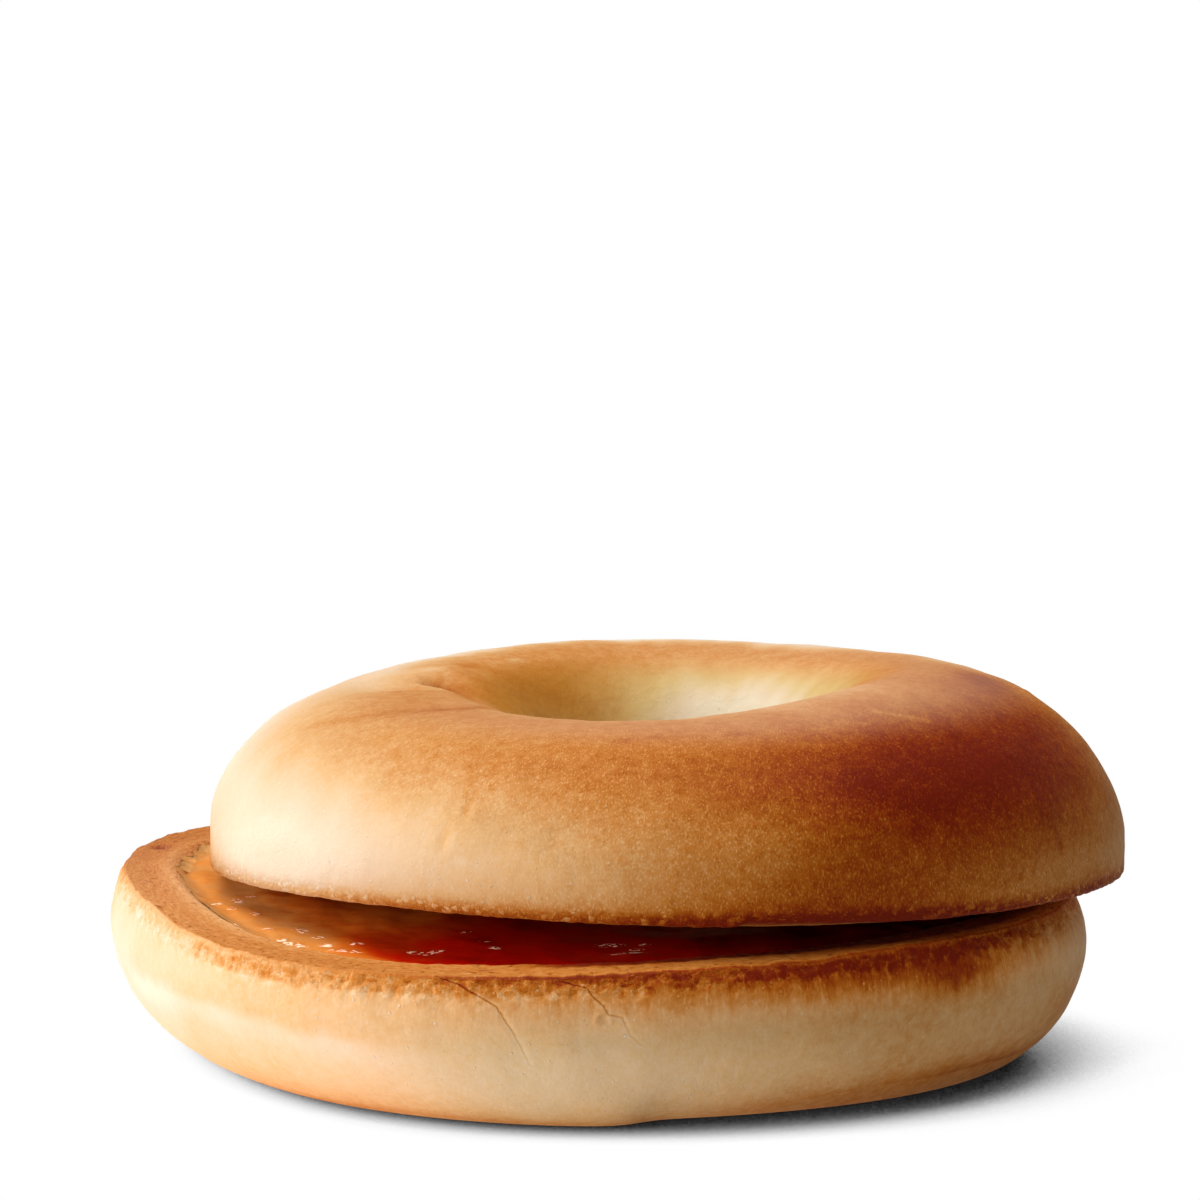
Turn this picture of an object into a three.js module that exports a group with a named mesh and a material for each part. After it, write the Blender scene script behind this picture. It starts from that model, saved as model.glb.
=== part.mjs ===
// A toasted bagel, sliced across and spread. The lower half lies cut face up, and the
// upper half rests on it cut face down, shifted sideways and tipped a little, so a wedge
// of a gap stays open at the front. Millimetres, +Z up. The origin is on the surface the
// bagel stands on, under the middle of its box, and the front is towards -Y.
//
// Each piece is a closed band: a closed profile in (radius, height) that changes with the
// bearing round the hole, joined all the way round. Bearings are counted from +X towards +Y.
import * as THREE from "three";

// ---- Driving dimensions ----------------------------------------------------------------
const AROUND = 66; // bearings round each piece
const CENTRE_X = 2.857; // middle of the whole box, counted from the lower half's own centre
const CENTRE_Y = -0.055;

// A quantity that changes round the ring: its mean, and [harmonic, cosine, sine] terms.
// Lower half: radius of the cut rim, and the rim's height above the surface it stands on.
const LOWER_RIM_RADIUS = { mean: 53.537, terms: [[2, -1.065, -1.56], [3, 0.558, 0.218], [4, -0.047, -1.183], [5, 0.266, 0.096]] };
const LOWER_RIM_HEIGHT = { mean: 18.898, terms: [[1, 0.137, 0.481], [2, 0.321, -0.69], [3, -0.044, 0.083], [4, 0.108, 0.005]] };
const BACK_DIP = 0.75; // the rim sags a little at the back, where the upper half bears on it
const BACK_DIP_BEARING = 95;
const BACK_DIP_SPREAD = 42;
const LOWER_BELLY = { mean: 1.694, terms: [[1, 0.055, 0.078]] }; // how far the wall swells past the rim
const LOWER_BELLY_SHARE = 0.681; // height of the widest place, as a share of the rim's height
const LOWER_TUCK = { mean: 13.215, terms: [[1, 0.437, -0.486], [2, -1.834, 0.632]] }; // how far the wall draws in before it meets the floor
const LOWER_CURVE = 1.784; // exponent of the wall's lower curve: 2 is an ellipse
const LUMP_PUSH = 3.653; // a lump of dough at the front that stands out near the floor
const LUMP_BEARING = 277; // degrees: where the lump stops short
const LUMP_SPREAD = 27.453; // degrees over which it fades the other way
const LUMP_EDGE = 1.6; // degrees over which it stops short
const LOWER_FOOT_INNER = 27; // inner radius of the flat ring it stands on

// Lower half's cut face: a raised lip of crust, and the toasted crumb sunk behind it.
const LIP_WIDTH = 5.2;
const LIP_FALL = 2.6; // width of the slope behind the lip
const DISH_DEPTH = 1.3;
const INNER_LIP_WIDTH = 1.6; // the same round the hole
const INNER_LIP_FALL = 2.0;

// Upper half, in its own frame, with the cut face at height 0.
const UPPER_RIM_RADIUS = { mean: 50.426, terms: [[2, 0.192, -0.134], [3, -0.314, 0.43], [4, 0.315, 0.003]] };
const UPPER_BELLY = { mean: 0.165, terms: [[1, -0.102, -0.017]] };
const UPPER_BELLY_LEAST = 0.02;
const UPPER_BELLY_HEIGHT = 4.103;
const CUT_WARP = { mean: 0, terms: [[2, -0.297, 0.187], [3, 0.139, -0.138]] }; // how toasting bent the cut face, at the rim
const CUT_WARP_FADE = 11; // height over which the bend fades
const CROWN_HEIGHT = { mean: 21.299, terms: [[1, 1.1, 1.07], [2, 0.279, -0.616], [3, 0.072, -0.153]] };
const CROWN_RADIUS = { mean: 29.17, terms: [[1, 0.931, 0.285], [2, -1.147, 0.56]] };
const CROWN_CURVE = { mean: 1.952, terms: [[1, -0.162, -0.01]] }; // exponent of the outer curve
const FUNNEL_CURVE = 2.058; // exponent of the curve into the hole
const HOLE_RADIUS = 12.707; // narrowest radius of the hole, in both halves
const HOLE_WALL = 6; // height of the straight wall of the hole above or below the cut
const CREASE_BEARING = 176; // degrees: where the rolled ends of the dough meet and fold
const CREASE_DEPTH = 1.3;
const CREASE_SPREAD = 9; // degrees
// How it lies on the lower half.
const UPPER_SHIFT = [9.148, 1.478, 20.237];
const UPPER_TIP_FRONT_UP = 1.911; // degrees about X
const UPPER_TIP_RIGHT_DOWN = 0.31; // degrees about Y

// The spread: a thin film on the crumb behind the lip.
const SPREAD_GAP = 0.3;
const SPREAD_THICKNESS = 0.8;
const SPREAD_INSET = 7.4; // from the lower half's rim
const SPREAD_HOLE_INSET = 4.2; // from the hole
const SPREAD_ROUND = 0.9; // width over which its edges thin out

// ---- Helpers ---------------------------------------------------------------------------
const rad = THREE.MathUtils.degToRad;
const about = (series, a) =>
  series.terms.reduce((s, [k, c, n]) => s + c * Math.cos(k * a) + n * Math.sin(k * a), series.mean);
const smooth = (t) => {
  const c = THREE.MathUtils.clamp(t, 0, 1);
  return c * c * (3 - 2 * c);
};
const bump = (a, degrees, spread) => {
  const d = Math.atan2(Math.sin(a - rad(degrees)), Math.cos(a - rad(degrees)));
  return Math.exp(-((d / rad(spread)) ** 2));
};

// Joins a closed profile, given for each bearing, into a closed band. The profile runs
// anticlockwise seen with the radius to the right and the height up.
function band(profileAt) {
  const positions = [];
  let points = 0;
  for (let i = 0; i < AROUND; i++) {
    const a = (i / AROUND) * 2 * Math.PI;
    const profile = profileAt(a);
    points = profile.length;
    for (const [r, z] of profile) positions.push(r * Math.cos(a), r * Math.sin(a), z);
  }
  const index = [];
  for (let i = 0; i < AROUND; i++)
    for (let j = 0; j < points; j++) {
      const here = i * points, next = ((i + 1) % AROUND) * points, up = (j + 1) % points;
      index.push(here + j, next + j, next + up, here + j, next + up, here + up);
    }
  const geometry = new THREE.BufferGeometry();
  geometry.setAttribute("position", new THREE.Float32BufferAttribute(positions, 3));
  geometry.setIndex(index);
  geometry.computeVertexNormals();
  return geometry;
}

// ---- Lower half ------------------------------------------------------------------------
const backDip = (a) => BACK_DIP * bump(a, BACK_DIP_BEARING, BACK_DIP_SPREAD);

// Height of the cut face at radius r on bearing a.
function faceHeight(r, a) {
  const rim = about(LOWER_RIM_RADIUS, a);
  const warp = LOWER_RIM_HEIGHT.terms.reduce(
    (s, [k, c, n]) => s + (r / rim) ** k * (c * Math.cos(k * a) + n * Math.sin(k * a)), LOWER_RIM_HEIGHT.mean);
  const behindLip = smooth((rim - LIP_WIDTH - r) / LIP_FALL);
  const pastInnerLip = smooth((r - HOLE_RADIUS - INNER_LIP_WIDTH) / INNER_LIP_FALL);
  return warp - backDip(a) * (r / rim) ** 2 - DISH_DEPTH * behindLip * pastInnerLip;
}

function lowerProfile(a) {
  const rim = about(LOWER_RIM_RADIUS, a), top = about(LOWER_RIM_HEIGHT, a) - backDip(a);
  const widest = rim + about(LOWER_BELLY, a), belly = LOWER_BELLY_SHARE * top;
  const degrees = (THREE.MathUtils.radToDeg(a) + 360) % 360 - LUMP_BEARING;
  const lump = LUMP_PUSH / (1 + Math.exp(THREE.MathUtils.clamp(degrees / LUMP_EDGE, -40, 40)))
    * Math.exp(-((Math.min(degrees, 0) / LUMP_SPREAD) ** 2));
  const tuck = about(LOWER_TUCK, a) - lump;
  const profile = [];
  const lower = 9, upper = 4, inner = 6;
  for (let i = 0; i < lower; i++) { // from the floor up the outer curve
    const t = (Math.PI / 2) * (1 - i / lower);
    profile.push([
      widest - tuck + tuck * Math.cos(t) ** (2 / LOWER_CURVE),
      i === 0 ? 0 : belly - belly * Math.sin(t) ** (2 / LOWER_CURVE),
    ]);
  }
  for (let i = 0; i <= upper; i++) { // from the widest place to the rim
    const s = i / upper;
    profile.push([widest - (widest - rim) * s * s, belly + (top - belly) * s]);
  }
  const slopeOut = rim - LIP_WIDTH, slopeIn = slopeOut - LIP_FALL;
  const lipIn = HOLE_RADIUS + INNER_LIP_WIDTH, lipOut = lipIn + INNER_LIP_FALL;
  for (const r of [slopeOut, (slopeOut + slopeIn) / 2, slopeIn, (slopeIn + lipOut) / 2, lipOut, lipIn, HOLE_RADIUS])
    profile.push([r, faceHeight(r, a)]);
  const wallEnd = faceHeight(HOLE_RADIUS, a) - HOLE_WALL;
  for (let i = 0; i <= inner; i++) { // down the hole and out to the floor
    const t = (Math.PI / 2) * (i / inner);
    profile.push([
      LOWER_FOOT_INNER - (LOWER_FOOT_INNER - HOLE_RADIUS) * Math.cos(t) ** (2 / FUNNEL_CURVE),
      i === inner ? 0 : wallEnd * (1 - Math.sin(t) ** (2 / FUNNEL_CURVE)),
    ]);
  }
  return profile;
}

// ---- Upper half ------------------------------------------------------------------------
function upperProfile(a) {
  const rim = about(UPPER_RIM_RADIUS, a);
  const widest = rim + Math.max(UPPER_BELLY_LEAST, about(UPPER_BELLY, a));
  const crease = CREASE_DEPTH * bump(a, CREASE_BEARING, CREASE_SPREAD);
  const height = about(CROWN_HEIGHT, a), crown = about(CROWN_RADIUS, a);
  const curve = THREE.MathUtils.clamp(about(CROWN_CURVE, a), 1.3, 3.5);
  const profile = [];
  const wall = 3, outer = 11, inner = 8;
  for (let i = 0; i < wall; i++) { // from the cut rim to the widest place
    const s = 1 - i / wall;
    profile.push([widest - (widest - rim) * s * s, UPPER_BELLY_HEIGHT * (1 - s)]);
  }
  for (let i = 0; i <= outer; i++) { // over the crown
    const t = (Math.PI / 2) * (i / outer);
    profile.push([
      crown + (widest - crown) * Math.cos(t) ** (2 / curve),
      UPPER_BELLY_HEIGHT + (height - UPPER_BELLY_HEIGHT) * Math.sin(t) ** (2 / curve)
        - crease * smooth((t - 1.0) / 0.5),
    ]);
  }
  for (let i = 1; i <= inner; i++) { // down into the hole
    const t = (Math.PI / 2) * (1 - i / inner);
    profile.push([
      crown - (crown - HOLE_RADIUS) * Math.cos(t) ** (2 / FUNNEL_CURVE),
      HOLE_WALL + (height - crease - HOLE_WALL) * Math.sin(t) ** (2 / FUNNEL_CURVE),
    ]);
  }
  profile.push([HOLE_RADIUS, 0], [(HOLE_RADIUS + rim) / 2, 0]);
  return profile.map(([r, z]) => {
    const warp = CUT_WARP.terms.reduce(
      (s, [k, c, n]) => s + (r / rim) ** k * (c * Math.cos(k * a) + n * Math.sin(k * a)), 0);
    return [r, z + warp * (1 - smooth(z / CUT_WARP_FADE))];
  });
}

// ---- Spread ----------------------------------------------------------------------------
function spreadProfile(a) {
  const outer = about(LOWER_RIM_RADIUS, a) - SPREAD_INSET;
  const inner = HOLE_RADIUS + SPREAD_HOLE_INSET;
  const middle = (outer + inner) / 2;
  const at = (r, rise) => [r, faceHeight(r, a) + SPREAD_GAP + rise];
  return [
    at(inner, 0), at(middle, 0), at(outer, 0),
    at(outer, SPREAD_THICKNESS * 0.5), at(outer - SPREAD_ROUND, SPREAD_THICKNESS),
    at(middle, SPREAD_THICKNESS),
    at(inner + SPREAD_ROUND, SPREAD_THICKNESS), at(inner, SPREAD_THICKNESS * 0.5),
  ];
}

// ---- Scene graph -----------------------------------------------------------------------
function piece(name, profileAt, color, roughness) {
  const mesh = new THREE.Mesh(
    band(profileAt), new THREE.MeshStandardMaterial({ color, roughness, metalness: 0 }));
  mesh.name = name;
  return mesh;
}

const bagel = new THREE.Group();
const centred = new THREE.Group();
centred.position.set(-CENTRE_X, -CENTRE_Y, 0);
bagel.add(centred);

centred.add(piece("bottom_half", lowerProfile, 0xdcae72, 0.62));
centred.add(piece("spread", spreadProfile, 0x8a3510, 0.18));

// The upper half is tipped about X first, then about Y, and set down on the lower one.
const upper = new THREE.Group();
upper.position.set(...UPPER_SHIFT);
upper.rotation.set(-rad(UPPER_TIP_FRONT_UP), rad(UPPER_TIP_RIGHT_DOWN), 0, "ZYX");
upper.add(piece("top_half", upperProfile, 0xbf7a3a, 0.55));
centred.add(upper);

export default bagel;
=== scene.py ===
# A toasted bagel, sliced across and spread with something dark and sticky.
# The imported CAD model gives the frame; every visible surface is made here as a mesh.
# Lengths are written in millimetres and turned into metres when a mesh is made.
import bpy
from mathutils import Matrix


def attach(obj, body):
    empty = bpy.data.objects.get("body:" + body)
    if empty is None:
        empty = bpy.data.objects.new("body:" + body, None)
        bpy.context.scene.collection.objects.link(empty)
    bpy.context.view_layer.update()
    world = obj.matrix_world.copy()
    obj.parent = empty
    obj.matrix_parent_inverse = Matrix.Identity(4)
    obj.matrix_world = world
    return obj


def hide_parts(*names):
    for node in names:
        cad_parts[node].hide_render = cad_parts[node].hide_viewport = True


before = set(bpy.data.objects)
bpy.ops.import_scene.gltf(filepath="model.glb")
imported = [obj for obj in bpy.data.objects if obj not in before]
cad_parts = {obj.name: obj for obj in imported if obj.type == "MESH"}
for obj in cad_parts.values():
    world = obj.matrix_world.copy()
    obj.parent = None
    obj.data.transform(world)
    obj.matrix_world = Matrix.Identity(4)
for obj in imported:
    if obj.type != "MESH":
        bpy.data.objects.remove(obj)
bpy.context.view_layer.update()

import math
import bpy
import numpy as np
from mathutils import Matrix, Vector

RAD = math.pi / 180
MM = 0.001

# ---- Sizes, the same as the CAD's -----------------------------------------------------
CENTRE = np.array([2.857, -0.055, 0.0])
LOWER_RIM_RADIUS = (53.537, [(2, -1.065, -1.56), (3, 0.558, 0.218), (4, -0.047, -1.183), (5, 0.266, 0.096)])
LOWER_RIM_HEIGHT = (18.898, [(1, 0.137, 0.481), (2, 0.321, -0.69), (3, -0.044, 0.083), (4, 0.108, 0.005)])
BACK_DIP, BACK_DIP_BEARING, BACK_DIP_SPREAD = 0.75, 95, 42
LOWER_BELLY = (1.694, [(1, 0.055, 0.078)])
LOWER_BELLY_SHARE = 0.681
LOWER_TUCK = (13.215, [(1, 0.437, -0.486), (2, -1.834, 0.632)])
LOWER_CURVE = 1.784
LUMP_PUSH, LUMP_BEARING, LUMP_SPREAD, LUMP_EDGE = 3.653, 277, 27.453, 1.6
LOWER_FOOT_INNER = 27
LIP_WIDTH, LIP_FALL, DISH_DEPTH = 5.2, 2.6, 1.3
INNER_LIP_WIDTH, INNER_LIP_FALL = 1.6, 2.0
UPPER_RIM_RADIUS = (50.426, [(2, 0.192, -0.134), (3, -0.314, 0.43), (4, 0.315, 0.003)])
UPPER_BELLY, UPPER_BELLY_LEAST, UPPER_BELLY_HEIGHT = (0.165, [(1, -0.102, -0.017)]), 0.02, 4.103
CUT_WARP, CUT_WARP_FADE = (0, [(2, -0.297, 0.187), (3, 0.139, -0.138)]), 11
CROWN_HEIGHT = (21.299, [(1, 1.1, 1.07), (2, 0.279, -0.616), (3, 0.072, -0.153)])
CROWN_RADIUS = (29.17, [(1, 0.931, 0.285), (2, -1.147, 0.56)])
CROWN_CURVE = (1.952, [(1, -0.162, -0.01)])
FUNNEL_CURVE, HOLE_RADIUS, HOLE_WALL = 2.058, 12.707, 6
CREASE_BEARING, CREASE_DEPTH, CREASE_SPREAD = 176, 1.3, 9
UPPER_SHIFT = np.array([9.148, 1.478, 20.237])
UPPER_TIP_FRONT_UP, UPPER_TIP_RIGHT_DOWN = 1.911, 0.31
SPREAD_GAP, SPREAD_THICKNESS, SPREAD_INSET, SPREAD_HOLE_INSET, SPREAD_ROUND = 0.3, 0.8, 7.4, 4.2, 0.9


# ---- Small helpers --------------------------------------------------------------------
def about(series, a):
    return series[0] + sum(c * np.cos(k * a) + n * np.sin(k * a) for k, c, n in series[1])


def smooth(t):
    t = np.clip(t, 0, 1)
    return t * t * (3 - 2 * t)


def turn(deg, at):
    """Signed difference of bearings, in degrees, within half a turn."""
    return (np.asarray(deg) - at + 180) % 360 - 180


def bump(x, width):
    return np.exp(-((x / width) ** 2))


def window(x, lo, hi, soft):
    """1 from lo to hi, fading over soft on either side."""
    return smooth((x - lo) / soft + 0.5) * smooth((hi - x) / soft + 0.5)


class Noise:
    """Seeded gradient noise on arrays of points, about -1 to 1."""

    def __init__(self, seed):
        rng = np.random.default_rng(seed)
        p = rng.permutation(256)
        self.p = np.concatenate([p, p, p])
        g = rng.normal(size=(256, 3))
        self.g = (g / np.linalg.norm(g, axis=1, keepdims=True)).astype(np.float32)

    def __call__(self, x, y, z):
        x, y, z = np.broadcast_arrays(x, y, z)
        shape = x.shape
        q = np.stack([x.ravel(), y.ravel(), z.ravel()], 1)
        i = np.floor(q).astype(np.int64)
        f = (q - i).astype(np.float32)
        i &= 255
        u = f * f * f * (f * (f * 6 - 15) + 10)
        out = np.zeros(len(q), np.float32)
        for dx in (0, 1):
            for dy in (0, 1):
                for dz in (0, 1):
                    h = self.p[self.p[self.p[i[:, 0] + dx] + ((i[:, 1] + dy) & 255)] + ((i[:, 2] + dz) & 255)]
                    g = self.g[h]
                    w = (u[:, 0] if dx else 1 - u[:, 0]) * (u[:, 1] if dy else 1 - u[:, 1]) * (u[:, 2] if dz else 1 - u[:, 2])
                    out += w * ((f[:, 0] - dx) * g[:, 0] + (f[:, 1] - dy) * g[:, 1] + (f[:, 2] - dz) * g[:, 2])
        return (out * 1.7).reshape(shape).astype(float)


def columns(count, density):
    """Bearings in degrees, packed by a density that is a function of the bearing."""
    fine = np.linspace(0, 360, 7201)
    d = density(fine)
    total = np.concatenate([[0], np.cumsum((d[1:] + d[:-1]) / 2)])
    return np.interp(np.arange(count) / count * total[-1], total, fine)


def spaced(curve, spacing):
    """Parameters from 0 to 1 whose points on curve(t) -> (r, z) lie about spacing apart."""
    t = np.linspace(0, 1, 2001)
    r, z = curve(t)
    length = np.concatenate([[0], np.cumsum(np.hypot(np.diff(r), np.diff(z)))])
    n = max(2, int(round(length[-1] / spacing)))
    return np.interp(np.linspace(0, length[-1], n + 1), length, t)


def graded(lo, hi, spacing_lo, spacing_hi):
    """Values from lo to hi with the spacing growing from one end to the other."""
    out, x = [lo], lo
    while x < hi:
        x += spacing_lo + (spacing_hi - spacing_lo) * (x - lo) / (hi - lo)
        out.append(x)
    out = np.array(out)
    return lo + (out - lo) * (hi - lo) / (out[-1] - lo)


def segment_field(u, v, points):
    """Signed distance to a polyline and the share of its length at the nearest point."""
    best = np.full(u.shape, 1e9)
    sign = np.ones(u.shape)
    along = np.zeros(u.shape)
    lengths = [math.dist(p, q) for p, q in zip(points, points[1:])]
    done = 0.0
    for (p, q), length in zip(zip(points, points[1:]), lengths):
        dx, dy = q[0] - p[0], q[1] - p[1]
        t = np.clip(((u - p[0]) * dx + (v - p[1]) * dy) / length ** 2, 0, 1)
        ex, ey = u - p[0] - t * dx, v - p[1] - t * dy
        d = np.hypot(ex, ey)
        near = d < best
        best = np.where(near, d, best)
        sign = np.where(near, np.sign(dx * ey - dy * ex), sign)
        along = np.where(near, (done + t * length) / sum(lengths), along)
        done += length
    return best * sign, along


def grid_normals(p):
    """Outward normals of a grid of points p[bearing, row, 3], closed in both directions."""
    du = np.roll(p, -1, 0) - np.roll(p, 1, 0)
    dv = np.roll(p, -1, 1) - np.roll(p, 1, 1)
    n = np.cross(du, dv)
    return n / np.maximum(np.linalg.norm(n, axis=2, keepdims=True), 1e-12)


def grid_mesh(name, points, attributes, material, cut_material=None):
    """A closed band from points[bearing, row, 3] in millimetres of the row frame."""
    n, m, _ = points.shape
    i, j = np.meshgrid(np.arange(n), np.arange(m), indexing="ij")
    i2, j2 = (i + 1) % n, (j + 1) % m
    faces = np.stack([i * m + j, i2 * m + j, i2 * m + j2, i * m + j2], -1).reshape(-1, 4)
    mesh = bpy.data.meshes.new(name)
    mesh.vertices.add(n * m)
    mesh.vertices.foreach_set("co", (points.reshape(-1) * MM).astype(np.float32))
    mesh.loops.add(faces.size)
    mesh.loops.foreach_set("vertex_index", faces.reshape(-1).astype(np.int32))
    mesh.polygons.add(len(faces))
    mesh.polygons.foreach_set("loop_start", np.arange(0, faces.size, 4, dtype=np.int32))
    mesh.update(calc_edges=True)
    mesh.validate()
    mesh.polygons.foreach_set("use_smooth", np.ones(len(mesh.polygons), bool))
    for key, value in attributes.items():
        value = np.asarray(value)
        if value.ndim == 3:
            at = mesh.attributes.new(key, "FLOAT_VECTOR", "POINT")
            at.data.foreach_set("vector", value.reshape(-1).astype(np.float32))
        else:
            at = mesh.attributes.new(key, "FLOAT", "POINT")
            at.data.foreach_set("value", value.reshape(-1).astype(np.float32))
    ob = bpy.data.objects.new(name, mesh)
    bpy.context.scene.collection.objects.link(ob)
    mesh.materials.append(material)
    if cut_material:
        mesh.materials.append(cut_material)
        inside = np.asarray(attributes["zone"]) > 0.5
        both = inside & np.roll(inside, -1, 1) & np.roll(inside, -1, 0)
        if len(mesh.polygons) == n * m:
            mesh.polygons.foreach_set("material_index", both.reshape(-1).astype(np.int32))
    mesh.update()
    return ob


# ---- Camera, at the photograph's angle ------------------------------------------------
cam = bpy.data.objects.new("camera", bpy.data.cameras.new("camera"))
bpy.context.scene.collection.objects.link(cam)
cam.location = (-0.00155993, -0.78887971, 0.15259085)
cam.rotation_euler = (82.609982 * RAD, 0, 0)
cam.data.sensor_width = 36
cam.data.lens = 215.0714
cam.data.clip_start, cam.data.clip_end = 0.01, 50
bpy.context.scene.camera = cam

# ---- Materials ------------------------------------------------------------------------
# The skin of the dough from raw cream to burnt, linear colour, at even steps of browning.
BROWNING = (
    (0.86, 0.72, 0.54), (0.83, 0.615, 0.425), (0.80, 0.53, 0.30), (0.77, 0.45, 0.20),
    (0.71, 0.36, 0.13), (0.64, 0.265, 0.066), (0.55, 0.185, 0.025), (0.45, 0.113, 0.006),
    (0.34, 0.058, 0.0015), (0.25, 0.024, 0.0008), (0.18, 0.010, 0.0005),
)


class Shader:
    """Short ways to write a material's nodes."""

    def __init__(self, name):
        self.material = bpy.data.materials.new(name)
        self.material.use_nodes = True
        self.tree = self.material.node_tree
        self.tree.nodes.clear()

    def make(self, kind, out=0, sockets=None, **settings):
        node = self.tree.nodes.new(kind)
        for key, value in settings.items():
            setattr(node, key, value)
        for key, value in (sockets or {}).items():
            if isinstance(value, bpy.types.NodeSocket):
                self.tree.links.new(value, node.inputs[key])
            else:
                node.inputs[key].default_value = value
        return node.outputs[out]

    def attribute(self, name):
        return self.make("ShaderNodeAttribute", 1, attribute_name=name)

    def value(self, name):
        return self.make("ShaderNodeAttribute", 2, attribute_name=name)

    def math(self, operation, a, b=0.0, c=0.0, clamp=False):
        return self.make("ShaderNodeMath", operation=operation, use_clamp=clamp, sockets={0: a, 1: b, 2: c})

    def add(self, *terms):
        total = terms[0]
        for term in terms[1:]:
            total = self.math("ADD", total, term)
        return total

    def mul(self, a, b):
        return self.math("MULTIPLY", a, b)

    def step(self, value, lo, hi, to_lo=0.0, to_hi=1.0):
        """Smooth change from to_lo at lo to to_hi at hi."""
        return self.make("ShaderNodeMapRange", interpolation_type="SMOOTHSTEP", sockets={
            "Value": value, "From Min": lo, "From Max": hi, "To Min": to_lo, "To Max": to_hi})

    def stretch(self, vector, sizes):
        """Coordinates in millimetres divided by feature sizes in millimetres."""
        return self.make("ShaderNodeVectorMath", operation="MULTIPLY", sockets={0: vector, 1: tuple(1 / q for q in sizes)})

    def noise(self, vector, sizes, detail=2.0, roughness=0.5, seed=0.0):
        v = self.stretch(vector, sizes)
        if seed:
            v = self.make("ShaderNodeVectorMath", operation="ADD", sockets={0: v, 1: (seed, seed * 1.7, seed * 2.3)})
        return self.make("ShaderNodeTexNoise", sockets={"Vector": v, "Scale": 1.0, "Detail": detail, "Roughness": roughness})

    def swing(self, vector, sizes, gain, detail=2.0, roughness=0.5, seed=0.0):
        """Noise about zero, times gain."""
        return self.mul(self.math("SUBTRACT", self.noise(vector, sizes, detail, roughness, seed), 0.5), gain)

    def cells(self, vector, sizes, out=0, seed=0.0):
        v = self.stretch(vector, sizes)
        if seed:
            v = self.make("ShaderNodeVectorMath", operation="ADD", sockets={0: v, 1: (seed, seed * 1.7, seed * 2.3)})
        return self.make("ShaderNodeTexVoronoi", out, sockets={"Vector": v, "Scale": 1.0, "Randomness": 1.0})

    def split(self, vector, part):
        return self.make("ShaderNodeSeparateXYZ", part, sockets={0: vector})

    def blend(self, factor, a, b, mode="MIX"):
        return self.make("ShaderNodeMix", 2, data_type="RGBA", blend_type=mode, sockets={0: factor, 6: a, 7: b})

    def ramp(self, factor, colours):
        out = self.make("ShaderNodeValToRGB", sockets={0: factor})
        ramp = out.node.color_ramp
        ramp.interpolation = "LINEAR"
        while len(ramp.elements) < len(colours):
            ramp.elements.new(0.5)
        for k, (element, colour) in enumerate(zip(ramp.elements, colours)):
            element.position = k / (len(colours) - 1)
            element.color = (*colour, 1)
        return out

    def finish(self, colour, roughness, height, **shader):
        """height is in millimetres."""
        normal = self.make("ShaderNodeBump", sockets={"Strength": 1.0, "Distance": MM, "Height": height})
        sockets = {"Base Color": colour, "Roughness": roughness, "Normal": normal}
        sockets.update(shader)
        surface = self.make("ShaderNodeBsdfPrincipled", sockets=sockets)
        self.tree.links.new(surface, self.tree.nodes.new("ShaderNodeOutputMaterial").inputs["Surface"])
        return self.material


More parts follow.
